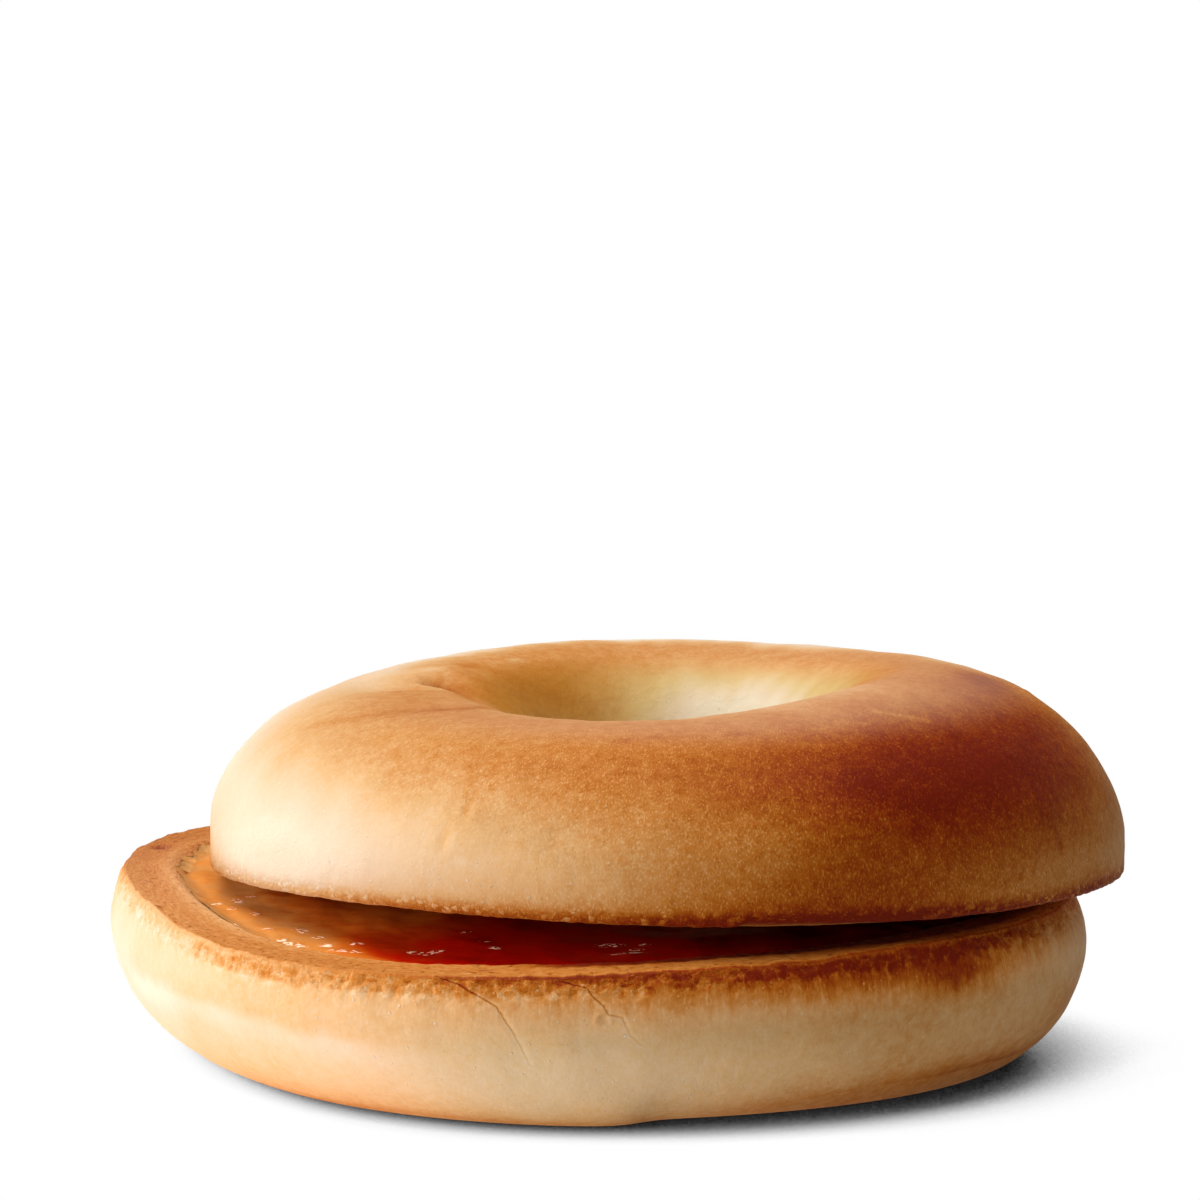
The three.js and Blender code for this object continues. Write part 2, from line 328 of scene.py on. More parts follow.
def skin(name, pale, fleck, streak_fade, grain, cracked=False):
    """Baked skin. pale scales its colour, fleck is the size of the pale fibres in mm,
    streak_fade is where they fade out, in mm from the cut rim."""
    s = Shader(name)
    wrap, bake, at = s.attribute("cyl"), s.value("bake"), s.attribute("pmm")
    v = s.split(s.attribute("place"), 1)
    # fine mottles, stronger where the skin has browned
    mottle = s.math("SUBTRACT", s.noise(at, (1.25, 1.25, 1.25), 4, 0.62, 3), 0.5)
    calm = s.mul(s.step(bake, 0.05, 0.5, 0.22, 1.0), s.step(v, 38.0, 45.0, 1.0, 0.35))
    fine = s.mul(s.math("SUBTRACT", s.noise(at, (0.42, 0.42, 0.42), 2, 0.6, 8), 0.5), calm)
    # short pale fibres up the skin
    fibre = s.noise(wrap, fleck, 1, 0.5, 11)
    near = s.step(v, streak_fade[0], streak_fade[1], 1.0, streak_fade[2])
    fleck_tone = s.mul(s.mul(s.step(fibre, 0.54, 0.72), near), s.step(bake, 0.1, 0.6, 0.12, 1.0))
    dark_tone = s.mul(s.mul(s.step(fibre, 0.45, 0.28), near), s.step(bake, 0.1, 0.6, 0.1, 1.0))
    # tiny blisters, pale on top
    cell = s.cells(wrap, (0.95, 0.95, 0.95), 0, 5)
    chance = s.split(cell.node.outputs[1], 0)
    size = s.add(-0.02, s.mul(chance, 0.15), s.step(v, 9.0, 0.5, 0.0, 0.05))
    bead = s.step(s.math("SUBTRACT", cell, size), 0.06, -0.03)
    tone = s.add(bake, 0.02, s.mul(s.mul(mottle, calm), 0.30), s.mul(fine, 0.16), s.mul(fleck_tone, -0.15 * grain), s.mul(dark_tone, 0.05 * grain),
                 s.mul(bead, -0.14))
    height = s.add(s.mul(mottle, 0.14 * grain), s.mul(s.mul(fibre, near), 0.05 * grain), s.mul(bead, 0.06))
    if not cracked:
        # grains of crumb along the cut edge
        along_rim = s.mul(s.step(v, -0.2, 0.2), s.step(v, 1.9, 0.7))
        grains = s.cells(wrap, (0.62, 0.62, 0.5), 0, 19)
        kind = s.split(grains.node.outputs[1], 1)
        tone = s.add(tone, s.mul(along_rim, s.add(s.step(kind, 0.70, 0.95, 0.04, -0.16), s.step(grains, 0.2, 0.6, 0.0, 0.05))))
        height = s.add(height, s.mul(along_rim, s.mul(grains, -0.12)))
    if cracked:
        # crumbled lumps of skin along the torn rim, with pale gaps between them
        along_rim = s.mul(s.step(v, -0.1, 0.4), s.step(v, 3.4, 1.8))
        wander = s.make("ShaderNodeTexNoise", 1, sockets={"Vector": wrap, "Scale": 0.9, "Detail": 3.0, "Roughness": 0.6})
        lump = s.cells(s.make("ShaderNodeVectorMath", operation="MULTIPLY_ADD", sockets={0: wander, 1: (2.6, 2.6, 2.2), 2: wrap}),
                       (1.1, 1.1, 0.9), 0, 9)
        kind = s.split(lump.node.outputs[1], 1)
        tone = s.add(tone, s.mul(along_rim, s.add(s.step(lump, 0.35, 0.75, 0.03, -0.07), s.mul(s.math("SUBTRACT", kind, 0.5), 0.16))))
        height = s.add(height, s.mul(along_rim, s.mul(s.mul(lump, lump), -0.14)))
        crack = s.attribute("crack")
        wobble = s.add(s.mul(mottle, 0.20), s.mul(fine, 0.25))
        along = s.split(crack, 2)
        nearest = s.math("MINIMUM", s.math("ABSOLUTE", s.add(s.split(crack, 0), wobble)), s.math("ABSOLUTE", s.add(s.split(crack, 1), wobble)))
        line = s.mul(s.step(nearest, 0.12, 0.02), s.step(along, 1.0, 0.2, 0.2, 1.0))
        beside = s.mul(s.mul(s.step(nearest, 0.6, 0.2), s.step(nearest, 0.08, 0.2)), s.step(along, 0.0, 0.3, 0.2, 1.0))
        tone = s.add(tone, s.mul(line, 0.22), s.mul(beside, -0.05))
        height = s.add(height, s.mul(line, -0.05))
    colour = s.ramp(s.math("ADD", tone, 0.0, clamp=True), BROWNING)
    # painted sheen: a pale pinkish haze blended over the upper crown
    tint_and_painted_sheen = s.value("tint_and_painted_sheen")
    colour = s.blend(tint_and_painted_sheen, colour, (0.66, 0.44, 0.34, 1))
    # the skin inside the hole is a little greener
    inside = s.mul(s.step(v, 40.0, 46.0), s.step(bake, 0.0, 0.3, 0.3, 1.0))
    colour = s.blend(inside, colour, (0.90, 1.07, 0.98, 1), "MULTIPLY")
    if cracked:
        # the flank is duller towards the foot and away from the pale left end
        bearing = s.split(s.attribute("place"), 2)
        dull = s.mul(s.mul(s.step(bearing, 240.0, 264.0), s.step(bearing, 358.0, 340.0)), s.step(v, 3.5, 8.0))
        colour = s.blend(dull, colour, (0.84, 0.925, 0.94, 1), "MULTIPLY")
    colour = s.make("ShaderNodeVectorMath", operation="MULTIPLY", sockets={0: colour, 1: pale})
    roughness = s.add(s.step(bake, 0.0, 1.0, 0.62, 0.52), s.mul(mottle, 0.3))
    return s.finish(colour, roughness, height, **CRUST_GLOSS)


def crumb(name):
    """The toasted cut face: fine crumb drawn round the ring, with dark pores."""
    s = Shader(name)
    wrap, bake, at = s.attribute("cyl"), s.value("bake"), s.attribute("pmm")
    tint_and_painted_sheen = s.value("tint_and_painted_sheen")
    strand = s.math("SUBTRACT", s.noise(wrap, (1.5, 1.5, 0.30), 3, 0.62, 17), 0.5)
    grit = s.noise(at, (0.7, 0.7, 0.7), 3, 0.62, 23)
    pore = s.step(grit, 0.40, 0.28)
    tone = s.add(bake, s.mul(strand, 0.50), s.mul(pore, 0.14), s.mul(s.math("SUBTRACT", grit, 0.5), -0.25))
    colour = s.ramp(s.math("ADD", tone, 0.0, clamp=True), BROWNING)
    # a pinker tone blended over the left end of the lower cut face
    colour = s.blend(tint_and_painted_sheen, colour, (0.70, 0.36, 0.22, 1))
    roughness = s.add(s.step(bake, 0.5, 1.0, 0.56, 0.30), s.mul(strand, 0.4))
    height = s.add(s.mul(strand, 0.22), s.mul(pore, -0.14), s.mul(grit, 0.12))
    return s.finish(colour, roughness, height, **CRUST_GLOSS)


CRUST_GLOSS = {"IOR": 1.45, "Specular IOR Level": 0.13, "Specular Tint": (1.0, 0.78, 0.52, 1),
               "Sheen Weight": 0.05, "Sheen Roughness": 0.4, "Sheen Tint": (1.0, 0.84, 0.72, 1)}


def sticky_spread(name):
    """Dark and clear, amber where it is thin, with painted highlights on its wet crests."""
    s = Shader(name)
    at, wrap, depth, highlight_spots = s.attribute("pmm"), s.attribute("cyl"), s.value("bake"), s.value("highlight_spots")
    swirl = s.math("SUBTRACT", s.noise(at, (2.6, 2.6, 2.6), 2, 0.5, 3), 0.5)
    t = s.add(depth, s.mul(swirl, s.step(depth, 0.1, 0.5, 0.34, 0.16)))
    colour = s.ramp(s.math("ADD", t, 0.0, clamp=True), SPREAD_TONES)
    # painted highlights: pale glints painted into the colour on the wet crests
    painted_glint = s.noise(wrap, (0.75, 0.75, 0.55), 1, 0.5, 15)
    colour = s.blend(s.mul(s.step(highlight_spots, 0.10, 0.6), s.step(painted_glint, 0.52, 0.60)), colour, (1.0, 0.68, 0.50, 1))
    roughness = s.add(0.20, s.mul(swirl, 0.15))
    height = s.add(s.mul(swirl, 0.12), s.mul(painted_glint, s.step(highlight_spots, 0.0, 0.8, 0.03, 0.14)))
    return s.finish(colour, roughness, height, **{"IOR": 1.06, "Specular IOR Level": 0.02, "Specular Tint": (1.0, 0.72, 0.55, 1)})


SPREAD_TONES = ((0.50, 0.235, 0.075), (0.52, 0.185, 0.036), (0.46, 0.10, 0.009), (0.36, 0.028, 0.0016), (0.31, 0.004, 0.0005),
                (0.23, 0.0012, 0.0002), (0.12, 0.0004, 0.0002))
lower_material = skin("lower_crust", (1.12, 1.12, 1.18), (0.30, 0.30, 1.0), (3.0, 8.0, 0.35), 0.65, cracked=True)
upper_material = skin("upper_crust", (1.0, 1.0, 1.0), (0.20, 0.20, 0.34), (24.0, 34.0, 0.25), 1.0)
lower_crumb, upper_crumb = crumb("lower_crumb"), crumb("upper_crumb")
spread_material = sticky_spread("spread")

# ---- Lower half -----------------------------------------------------------------------
def back_dip(deg):
    return BACK_DIP * bump(turn(deg, BACK_DIP_BEARING), BACK_DIP_SPREAD)


def face_height(r, a):
    """Height of the lower half's cut face, lip and dish."""
    rim = about(LOWER_RIM_RADIUS, a)
    warp = LOWER_RIM_HEIGHT[0] + sum(
        (r / rim) ** k * (c * np.cos(k * a) + n * np.sin(k * a)) for k, c, n in LOWER_RIM_HEIGHT[1])
    behind_lip = smooth((rim - LIP_WIDTH - r) / LIP_FALL)
    past_inner = smooth((r - HOLE_RADIUS - INNER_LIP_WIDTH) / INNER_LIP_FALL)
    return warp - back_dip(a / RAD) * (r / rim) ** 2 - DISH_DEPTH * behind_lip * past_inner


def lower_grid(deg):
    """Radius, height, zone and arc length from the rim of every point of the lower half."""
    a = (deg * RAD)[:, None]
    rim, top = about(LOWER_RIM_RADIUS, a), about(LOWER_RIM_HEIGHT, a) - back_dip(deg)[:, None]
    widest, belly = rim + about(LOWER_BELLY, a), LOWER_BELLY_SHARE * top
    past = deg[:, None] - LUMP_BEARING
    lump = LUMP_PUSH / (1 + np.exp(np.clip(past / LUMP_EDGE, -40, 40))) * np.exp(-((np.minimum(past, 0) / LUMP_SPREAD) ** 2))
    tuck = about(LOWER_TUCK, a) - lump
    round_ = 0.42
    rows_r, rows_z, zone = [], [], []

    def add(r, z, tag):
        r, z = np.broadcast_arrays(r, z)
        rows_r.append(r), rows_z.append(z)
        zone.extend([tag] * r.shape[1])

    # the ring it stands on, from the hole outwards
    t = np.linspace(0, 1, 9)[None, 1:-1]
    add(LOWER_FOOT_INNER + (widest - tuck - LOWER_FOOT_INNER) * t, np.zeros((len(deg), 7)), 0)
    # the outer curve
    p = 2 / LOWER_CURVE
    mean = (53.5 + 1.7, 13.2, 12.9)
    t = spaced(lambda t: (mean[0] - mean[1] + mean[1] * np.cos((1 - t) * np.pi / 2) ** p, mean[2] - mean[2] * np.sin((1 - t) * np.pi / 2) ** p), 0.47)
    q = ((1 - t) * np.pi / 2)[None, :-1]
    add(widest - tuck + tuck * np.cos(q) ** p, np.maximum(belly - belly * np.sin(q) ** p, 0), 1)
    # the upper wall
    length = np.hypot(widest - rim, top - belly)
    s = np.linspace(0, 1, 20)[None, :]
    s = s * (1 - round_ / length)
    add(widest - (widest - rim) * s ** 2, belly + (top - belly) * s, 1)
    # the rounded rim
    r0, z0 = rows_r[-1][:, -1:], rows_z[-1][:, -1:]
    r2 = rim - round_
    z2 = face_height(r2, a)
    t = np.array([0.2, 0.4, 0.6, 0.8])[None, :]
    add((1 - t) ** 2 * r0 + 2 * t * (1 - t) * rim + t ** 2 * r2, (1 - t) ** 2 * z0 + 2 * t * (1 - t) * top + t ** 2 * z2, 2)
    rim_row = len(zone) - 3
    # the cut face
    inset = np.concatenate([graded(round_, 9.5, 0.28, 0.42)[:-1], graded(9.5, 53.5 - HOLE_RADIUS, 0.45, 1.5)])
    r = rim - (rim - HOLE_RADIUS) * (inset / inset[-1])[None, :]
    near = rim - inset[None, :]
    keep = smooth((inset - 9.5) / 14)[None, :]
    r = near * (1 - keep) + r * keep
    add(r, face_height(r, a), 3)
    # down the hole and out to the floor
    wall_end = face_height(HOLE_RADIUS, a) - HOLE_WALL
    z = face_height(HOLE_RADIUS, a) + (wall_end - face_height(HOLE_RADIUS, a)) * (np.arange(1, 5) / 4)[None, :]
    add(np.full(z.shape, HOLE_RADIUS), z, 4)
    p = 2 / FUNNEL_CURVE
    t = (np.arange(1, 13) / 12 * np.pi / 2)[None, :]
    z = wall_end * (1 - np.sin(t) ** p)
    z[:, -1] = 0
    add(LOWER_FOOT_INNER - (LOWER_FOOT_INNER - HOLE_RADIUS) * np.maximum(np.cos(t), 0) ** p, z, 4)
    r, z, zone = np.concatenate(rows_r, 1), np.concatenate(rows_z, 1), np.array(zone)
    step = np.hypot(np.diff(r, axis=1), np.diff(z, axis=1))
    length = np.concatenate([np.zeros((len(deg), 1)), np.cumsum(step, 1)], 1)
    v = length[:, rim_row:rim_row + 1] - length  # down the wall is positive, inwards on the face negative
    return r, z, zone, v


def spread_outline(a):
    """Radius of the ragged outer edge of the spread."""
    N = Noise(37)
    return about(LOWER_RIM_RADIUS, a) - SPREAD_INSET + 1.0 + 0.8 * N(np.cos(a) * 50 / 5, np.sin(a) * 50 / 5, 2) + 0.4 * N(
        np.cos(a) * 50 / 1.6, np.sin(a) * 50 / 1.6, 7)


def lower_half():
    deg = columns(640, lambda d: 1.25 + 1.25 * window(d, 178, 362, 24) + 2.2 * window(d, 251, 277, 5) + 0.6 * window(d, 236, 250, 6))
    r, z, zone, v = lower_grid(deg)
    a = (deg * RAD)[:, None]
    p = np.stack([r * np.cos(a), r * np.sin(a), z], 2)
    n = grid_normals(p)
    x, y = p[..., 0], p[..., 1]
    d = deg[:, None] + 0 * r
    u = 53.5 * d * RAD
    wall = np.isin(zone, (1, 2))[None, :] & (v > -0.6)
    face = (zone == 3)[None, :] & (v < 0)
    N = Noise(11)
    cu, cv = 54 * np.cos(a), 54 * np.sin(a)
    off_floor = smooth(z / 3.5)
    shift = np.zeros_like(r)
    # dough: slow unevenness
    shift += off_floor * np.where(face, 0.5, 1) * (0.26 * (N(x / 15, y / 15, z / 11) - 0.35) + 0.13 * (N(x / 5.5 + 9, y / 5.5, z / 5.5) - 0.4))
    # tightened skin under the rim: upright wrinkles and small puckers
    under = window(v, 0.5, 4.6, 1.6) * wall
    shift += under * 0.06 * (N(cu / 1.7, cv / 1.7, v / 2.6 + 30) - 0.3)
    fray = N(cu / 1.0, cv / 1.0, v / 1.1 + 60)
    fray_place = window(v, 0.35, 2.9, 1.4) * wall * (0.45 + 0.75 * bump(turn(d, 242), 30))
    shift += fray_place * 0.15 * (fray - 0.25)
    shift += wall * off_floor * 0.03 * N(cu / 2.0, cv / 2.0, v / 1.6)
    # a crumpled patch of flaking skin
    patch = bump(turn(d, 242.8), 3.4) * window(v, 0.1, 3.6, 1.2) * wall
    ridge = 1 - np.abs(N(cu / 1.4 + v * 0.25, cv / 1.4, v / 3.5 + 5))
    shift += patch * (0.26 * (ridge ** 3 - 0.40))
    # the cut face: rough toasted crumb, drawn into fibres round the lip
    rough = face * (0.10 * N(x / 1.8, y / 1.8, 3) + 0.07 * N(x / 0.8, y / 0.8, 9))
    filled = face * smooth((spread_outline(a) - r - 0.7) / 1.3)
    shift += rough * 0.8 * (1 - smooth((spread_outline(a) - r + 1.6) / 1.6)) - 0.30 * filled
    shift += face * window(v, -6, -0.3, 1) * 0.02 * N(cu / 3.4, cv / 3.4, v / 0.6)
    # the ragged rim
    ragged = 0.20 * N(cu / 2.6, cv / 2.6, 0.5) + 0.10 * N(cu / 0.9, cv / 0.9, 4.5) + 0.16 * (N(cu / 7.0, cv / 7.0, 8.5))
    p2 = p + n * shift[..., None]
    p2[..., 2] += (ragged - 0.22) * bump(v - 0.2, 1.1)
    # cracks in the skin
    cracks = []
    for points in CRACKS:
        line = [(53.5 * t * RAD, q) for t, q in points]
        sd, along = segment_field(u, v, line)
        sd = np.where((np.abs(turn(d, 264)) < 25) & (v > -1) & wall, sd, 9.0)
        cracks.append((sd, along))
    for (sd, along), deep in zip(cracks, (0.09, 0.07)):
        fade = smooth(along / 0.04) * (1 - smooth((along - 0.45) / 0.5) * 0.75)
        groove = -deep * bump(sd, 0.20) * fade
        lip = deep * 0.5 * bump(sd - 0.45, 0.4) * fade
        p2 += n * ((groove + lip) * wall)[..., None]
    # a small squarish blister beside the second crack
    bu, bv = (u - 53.5 * 271.7 * RAD) / 0.75, (v - 4.9) / 0.6
    sq = (np.abs(bu) ** 3 + np.abs(bv) ** 3) ** (1 / 3)
    blister = wall * (0.16 * bump(sq - 1.0, 0.28) - 0.10 * bump(sq, 0.6))
    p2 += n * blister[..., None]
    # two holes in the crumb at the left
    # their insides are also painted darker, as painted shade
    hole_shade = 0 * r
    for (t0, r0, wt, wr, deep) in ((158.7, 52.3, 1.1, 0.9, 1.3), (186, 50.6, 0.5, 0.4, 0.4), (176, 49.5, 0.4, 0.35, 0.3)):
        e = np.sqrt(((d - t0) * RAD * r0 / wt) ** 2 + ((r - r0) / wr) ** 2)
        p2[..., 2] -= face * deep * np.exp(-(e ** 4))
        hole_shade += face * 0.45 * deep * np.exp(-(e ** 4))
    p2[..., 2] = np.maximum(p2[..., 2], 0)
    base = (zone == 0)[None, :] | (z <= 0)
    p2 = np.where(base[..., None], p, p2)
    attributes = {
        "place": np.stack([u, v, d], 2),
        "cyl": np.stack([cu + 0 * r, cv + 0 * r, v], 2),
        "zone": np.where(face, 1.0, 0.0) + 0 * r,
        "pmm": p,
        # a pinker tone at the left end of the cut face
        "tint_and_painted_sheen": 0.22 * face * bump(turn(d, 176), 34),
        "crack": np.stack([cracks[0][0], cracks[1][0], np.where(np.abs(cracks[0][0]) < np.abs(cracks[1][0]), cracks[0][1], cracks[1][1])], 2),
        "bake": np.clip(lower_bake(d, v, z, r, zone, N, cu, cv) + hole_shade - fray_place * 0.10 * fray
                        + wall * 0.035 * N(x / 6, y / 6, z / 6 + 4), 0, 1),
    }
    return p2 - CENTRE, attributes


CRACKS = (
    [(253.8, 0.0), (256.0, 0.8), (257.3, 1.7), (259.2, 2.7), (260.2, 3.3), (262.0, 5.9), (262.8, 7.4), (263.8, 9.9)],
    [(267.2, 0.4), (270.0, 1.5), (270.5, 2.3), (271.8, 3.6), (272.2, 4.4), (273.8, 4.8), (274.5, 6.7), (275.8, 7.9)],
)


# How brown the skin is: a base and soft toasted or pale patches, each
# (strength, bearing, distance from the cut rim in mm, half width in degrees, half height in mm).
LOWER_BASE = 0.13
LOWER_PATCHES = (
    (0.37, 297, 2.3, 35, 1.9),  # the scorched band at the right of the front
    (0.38, 269, -0.2, 26, 1.0),  # and its left end
    (0.14, 260, 5.1, 48, 4.5),
    (0.28, 315, 4.4, 5, 1.9),  # the drip below the band
    (0.27, 314, 2.5, 29, 22.6),
    (0.70, 353, 11.3, 15, 3.8),
    (0.54, 249, 23.9, 29, 3.3),  # the foot, browned by the tray
    (1.60, 326, 24.5, 26, 6.1),
    (-0.41, 182, 22.2, 27, 12.5),  # the pale left of the foot
    (0.41, 162, -4.0, 12, 8.0),
    (1.09, 11, -4.0, 155, 4.5),
    (0.41, 131, 19.4, 109, 8.9),
    (0.14, 145, 0.1, 61, 1.1),
)
UPPER_BASE = 0.23
UPPER_PATCHES = (
    (0.72, 319, 15.9, 45, 12.9),  # the darkest shoulder, at the right
    (0.44, 289, -1.4, 24, 10.0),  # the scorched cut edge at the front
    (0.84, 170, 18.6, 89, 8.3),
    (1.49, 194, 7.5, 29, 19.5),
    (-1.60, 180, 17.5, 44, 11.5),  # with the next, the cream left side
    (-1.60, 199, -4.0, 27, 19.7),
    (0.24, 137, 0.9, 124, 2.0),
    (-0.46, 67, 49.0, 49, 8.9),  # the cream wall at the back of the hole
    (0.23, 131, 51.0, 48, 6.1),
    (-0.86, 94, 30.7, 76, 4.1),  # the pale back of the crown
    (1.59, 137, 37.0, 170, 9.0),
    (0.30, 353, 29.1, 15, 3.5),
    (0.14, 338, 1.1, 9, 1.6),
    (-1.31, 152, 37.4, 156, 6.9),
    (0.31, 316, -0.0, 143, 1.2),
)


def browning(base, patches, d, v):
    total = np.full(v.shape, base)
    for strength, bearing, along, wide, tall in patches:
        total += strength * np.exp(-((turn(d, bearing) / wide) ** 2) - (((v - along) / tall) ** 2))
    return total


# A paler band that runs along the lower left wall: (bearing, distance below the rim).
PALE_BAND = [(186, 10.2), (194, 9.0), (206, 7.9), (218, 7.3), (226, 7.2), (238, 8.1), (248, 8.9), (258, 10.0)]


def lower_bake(d, v, z, r, zone, N, cu, cv):
    drips = 0.75 * N(cu / 1.1, cv / 1.1, 11) + 0.45 * N(cu / 0.55, cv / 0.55, 17)
    reach = v + drips * smooth(v / 1.2) * (1 - smooth((v - 4.5) / 4))
    wall = browning(LOWER_BASE, LOWER_PATCHES, d, reach)
    sd, along = segment_field(53.5 * d * RAD, v, [(53.5 * t * RAD, q) for t, q in PALE_BAND])
    sd = sd + 0.5 * N(cu / 4, cv / 4, v / 4)
    fade = smooth(along / 0.2) * (1 - smooth((along - 0.75) / 0.25)) * (np.abs(turn(d, 222)) < 40)
    wall = wall - fade * 0.09 * np.where(sd < 0, bump(sd, 0.9), bump(sd, 2.4)) + fade * 0.03 * bump(sd + 1.8, 1.1)
    # the scorched band has a crisp, scalloped lower edge and starts just under the tan lip
    lip = 0.12 * N(cu / 0.7, cv / 0.7, 29)
    hot = smooth((d - 262) / 22) * smooth((338 - d) / 22)
    wall = wall + 0.14 * window(v, 0.5, 2.2, 0.6) * smooth((d - 208) / 14) * smooth((274 - d) / 14)
    wall = wall + hot * (0.10 * window(reach, 0.45 + lip, 1.9, 0.5) - 0.06 * window(reach, 2.2, 3.6, 0.8) - 0.12 * window(v, -0.4, 0.30, 0.25))
    wall = np.where(v > 17.5, np.minimum(wall, 0.42 + 0.12 * smooth((d - 280) / 30)), wall)
    behind = smooth((d - 6) / 22) * smooth((164 - d) / 22)
    wall = wall - 0.75 * np.maximum(wall - 0.36, 0) * smooth((d - 334) / 12) * window(v, 7.5, 15.5, 3)
    wall = wall + 0.75 * behind * (0.33 + 0.20 * (1 - smooth(v / 4)) + 0.10 * smooth((v - 15) / 8) - wall)
    wall = np.clip(wall, 0, 1)
    face = 0.60 + 0.05 * bump(turn(d, 155), 16) - 0.05 * bump(turn(d, 200), 25) - 0.17 * smooth((-v - 3.2) / 2.5) * bump(turn(d, 195), 48) + 0.07 * smooth((d - 282) / 20)
    # Darker deep in the gap at the front and right: partly spread soaked into the crumb, partly painted shade under the
    # top half.
    soaked_and_shaded = smooth((-v - 3.2 + 2.2 * smooth((d - 298) / 16) + 0.5 * N(cu / 2, cv / 2, 21)) / 1.4) * smooth((d - 258) / 14) * smooth((350 - d) / 30)
    face = face + 0.42 * soaked_and_shaded
    return np.where((zone == 3)[None, :] & (v < -0.25), face, wall)


# ---- Upper half -----------------------------------------------------------------------
def upper_grid(deg):
    a = (deg * RAD)[:, None]
    rim = about(UPPER_RIM_RADIUS, a)
    widest = rim + np.maximum(UPPER_BELLY_LEAST, about(UPPER_BELLY, a))
    crease = CREASE_DEPTH * bump(turn(deg, CREASE_BEARING), CREASE_SPREAD)[:, None]
    height, crown = about(CROWN_HEIGHT, a), about(CROWN_RADIUS, a)
    curve = np.clip(about(CROWN_CURVE, a), 1.3, 3.5)
    round_ = 0.4
    rows_r, rows_z, zone = [], [], []

    def add(r, z, tag):
        r, z = np.broadcast_arrays(r, z)
        rows_r.append(r), rows_z.append(z)
        zone.extend([tag] * r.shape[1])

    # the rounded rim, then the wall up to the widest place
    t = np.array([0.0, 0.25, 0.5, 0.75])[None, :]
    s1 = 1 - round_ / UPPER_BELLY_HEIGHT
    r2, z2 = widest - (widest - rim) * s1 ** 2, np.full_like(rim, UPPER_BELLY_HEIGHT * (1 - s1))
    add((1 - t) ** 2 * (rim - round_) + 2 * t * (1 - t) * rim + t ** 2 * r2, t ** 2 * z2, 2)
    rim_row = 2
    s = np.linspace(s1, 0, 11)[None, :-1]
    add(widest - (widest - rim) * s ** 2, UPPER_BELLY_HEIGHT * (1 - s), 1)
    # over the crown
    w0, h0 = 50.6, 21.3
    t = spaced(lambda t: (29.2 + (w0 - 29.2) * np.cos(t * np.pi / 2), 4.1 + (h0 - 4.1) * np.sin(t * np.pi / 2)), 0.40) * np.pi / 2
    t = t[None, :]
    e = 2 / curve
    add(crown + (widest - crown) * np.maximum(np.cos(t), 0) ** e,
        UPPER_BELLY_HEIGHT + (height - UPPER_BELLY_HEIGHT) * np.sin(t) ** e - crease * smooth((t - 1.0) / 0.5), 1)
    # down into the hole
    t = spaced(lambda t: (29.2 - (29.2 - HOLE_RADIUS) * np.sin(t * np.pi / 2), HOLE_WALL + 15.3 * np.cos(t * np.pi / 2)), 0.52) * np.pi / 2
    t = t[None, 1:]
    p = 2 / FUNNEL_CURVE
    add(crown - (crown - HOLE_RADIUS) * np.sin(t) ** p, HOLE_WALL + (height - crease - HOLE_WALL) * np.maximum(np.cos(t), 0) ** p, 4)
    z = HOLE_WALL * (1 - np.arange(1, 8) / 7)[None, :] + 0 * rim
    add(np.full(z.shape, HOLE_RADIUS), z, 4)
    # the cut face, from the hole out to the rim
    t = (1 - graded(0, 1, 0.025, 0.09)[::-1])[None, 1:-1]
    t = np.sort(t, axis=1)
    add(HOLE_RADIUS + (rim - round_ - HOLE_RADIUS) * t, 0 * t, 3)
    r, z, zone = np.concatenate(rows_r, 1), np.concatenate(rows_z, 1), np.array(zone)
    warp = sum((r / rim) ** k * (c * np.cos(k * a) + n * np.sin(k * a)) for k, c, n in CUT_WARP[1])
    z = z + warp * (1 - smooth(z / CUT_WARP_FADE))
    step = np.hypot(np.diff(r, axis=1), np.diff(z, axis=1))
    length = np.concatenate([np.zeros((len(deg), 1)), np.cumsum(step, 1)], 1)
    v = length - length[:, rim_row:rim_row + 1]
    return r, z, zone, v


def place_upper(p):
    tx, ty = -UPPER_TIP_FRONT_UP * RAD, UPPER_TIP_RIGHT_DOWN * RAD
    rx = np.array([[1, 0, 0], [0, math.cos(tx), -math.sin(tx)], [0, math.sin(tx), math.cos(tx)]])
    ry = np.array([[math.cos(ty), 0, math.sin(ty)], [0, 1, 0], [-math.sin(ty), 0, math.cos(ty)]])
    return p @ (ry @ rx).T + UPPER_SHIFT


def upper_bake(d, v, N, cu, cv):
    drips = 0.35 * N(cu / 0.9, cv / 0.9, 11) + 0.25 * N(cu / 0.5, cv / 0.5, 17)
    reach = v + drips * (1 - smooth((v - 3) / 3))
    wavy = 1.6 * N(cu / 6, cv / 6, v / 8 + 3)
    wall = browning(UPPER_BASE, UPPER_PATCHES, d, reach + wavy * smooth((v - 4) / 6))
    behind = smooth((d - 10) / 24) * smooth((160 - d) / 24) * smooth((31 - v) / 5)
    wall = wall + 0.85 * behind * (0.44 + 0.12 * (1 - smooth(v / 5)) - 0.06 * smooth((v - 22) / 8) + 0.04 * wavy - wall)
    wall = wall + 0.09 * window(v, -0.3, 0.7, 0.7) * smooth((d - 172) / 12) * smooth((262 - d) / 20)
    return np.clip(wall, 0, 1)


# Where the rope's end laps over at the left of the hole: a valley with a raised lip in front.
LAP = [(166, 33.0), (170, 36.0), (171.6, 37.6), (173, 39.1), (174.8, 40.4), (180, 42.5), (190, 45.5)]
STREAK = [(192, 17.2), (196.2, 18.9), (203, 23.0), (208.7, 27.6), (211.5, 29.5), (214.3, 31.3), (215.6, 33.3), (214, 36.3), (208, 39.5)]
